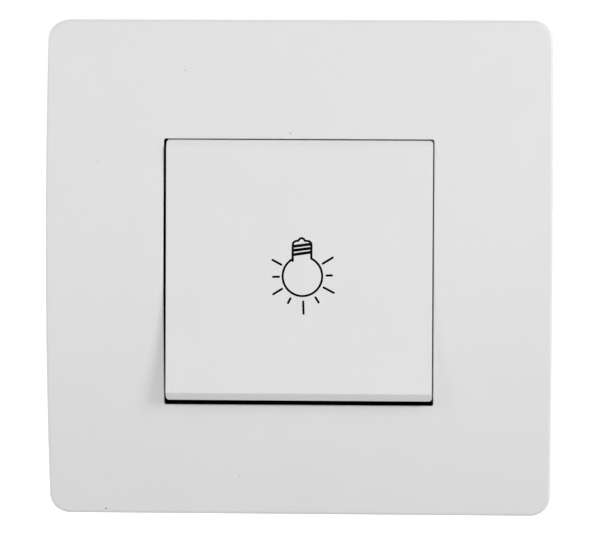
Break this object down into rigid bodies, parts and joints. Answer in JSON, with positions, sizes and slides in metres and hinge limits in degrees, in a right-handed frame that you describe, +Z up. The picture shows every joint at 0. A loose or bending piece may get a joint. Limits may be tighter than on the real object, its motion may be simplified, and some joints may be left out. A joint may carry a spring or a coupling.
{
  "type": "push button light switch",
  "caption": "Flush wall push-button light switch with a bowed square cover plate, sprung button and fixing claws.",
  "frame": {"origin": "in the plane of the wall (the back of the cover plate and of the steel bridge), at the middle of the two wall-screw slots", "axes": "+X to the right as the switch is looked at, +Y into the wall, +Z up"},
  "size_m": [0.084, 0.0385, 0.083],
  "materials": {
    "plate_plastic": "satin white moulding",
    "button_plastic": "satin white moulding",
    "yoke_plastic": "plain moulding",
    "works_plastic": "grey moulding",
    "surround_plastic": "black moulding",
    "icon_ink": "pad-printed ink",
    "zinc_steel": "zinc-plated sheet",
    "screw_steel": "plated",
    "spring_steel": "drawn wire",
    "brass": "pressed",
    "copper": "pressed copper",
    "silver": "fine silver"
  },
  "bodies": {
    "base": {"cover_frame": "plate_plastic", "button_surround": "surround_plastic", "support_bridge": "zinc_steel", "mechanism_cover": "works_plastic", "mechanism_base": "works_plastic", "return_spring": "spring_steel", "fixed_contact_tip": "silver", "common_strip": "brass", "switched_strip": "brass", "claw_pins": "screw_steel", "common_clamp": "brass", "common_screw": "screw_steel", "switched_clamp": "brass", "switched_screw": "screw_steel"},
    "button": {"button_cap": "button_plastic", "button_yoke": "yoke_plastic", "plunger_spring": "spring_steel"},
    "plunger": {"contact_plunger": "yoke_plastic"},
    "see_saw": {"moving_contact": "copper", "moving_contact_tip": "silver"},
    "claw_left": {"claw_left": "zinc_steel"},
    "claw_nut_left": {"claw_nut_left": "screw_steel"},
    "claw_screw_left": {"claw_screw_left": "screw_steel"},
    "claw_right": {"claw_right": "zinc_steel"},
    "claw_nut_right": {"claw_nut_right": "screw_steel"},
    "claw_screw_right": {"claw_screw_right": "screw_steel"}
  },
  "joints": [
    {"name": "button_tilt", "type": "hinge", "parent": "base", "child": "button", "pos_m": [0, -0.00635, 0], "axis": [1, 0, 0], "range_deg": [0, 6], "stiffness_Nm_per_rad": 0.2, "springref_deg": -9, "deforming": ["return_spring"]},
    {"name": "plunger_slide", "type": "slide", "parent": "button", "child": "plunger", "axis": [0, -0.9986, 0.0523], "range_m": [0, 0.0008], "stiffness_N_per_m": 300, "springref_m": -0.002, "deforming": ["plunger_spring"]},
    {"name": "see_saw_rock", "type": "hinge", "parent": "base", "child": "see_saw", "pos_m": [0, 0.007, 0], "axis": [1, 0, 0], "range_deg": [-12.01, 0]},
    {"name": "claw_nut_left_travel", "type": "slide", "parent": "base", "child": "claw_nut_left", "axis": [0, -1, 0], "range_m": [0, 0.00243]},
    {"name": "claw_screw_left_turn", "type": "hinge", "parent": "base", "child": "claw_screw_left", "pos_m": [-0.0272, 0, -0.01], "axis": [0, 1, 0], "range_deg": [0, 1750]},
    {"name": "claw_left_swing", "type": "hinge", "parent": "base", "child": "claw_left", "pos_m": [-0.0218, 0.009, -0.01], "axis": [0, 0, 1], "range_deg": [0, 28.01]},
    {"name": "claw_nut_right_travel", "type": "slide", "parent": "base", "child": "claw_nut_right", "axis": [0, -1, 0], "range_m": [0, 0.00243]},
    {"name": "claw_screw_right_turn", "type": "hinge", "parent": "base", "child": "claw_screw_right", "pos_m": [0.0272, 0, -0.01], "axis": [0, 1, 0], "range_deg": [0, 1750]},
    {"name": "claw_right_swing", "type": "hinge", "parent": "base", "child": "claw_right", "pos_m": [0.0218, 0.009, -0.01], "axis": [0, 0, 1], "range_deg": [-28.01, 0]}
  ],
  "couplings": [
    {"joint": "see_saw_rock", "follows": "button_tilt", "ratio": -2},
    {"joint": "claw_screw_left_turn", "follows": "claw_nut_left_travel", "rad_per_m": 12566},
    {"joint": "claw_left_swing", "follows": "claw_nut_left_travel", "rad_per_m": 201.06},
    {"joint": "claw_screw_right_turn", "follows": "claw_nut_right_travel", "rad_per_m": 12566},
    {"joint": "claw_right_swing", "follows": "claw_nut_right_travel", "rad_per_m": -201.06}
  ]
}
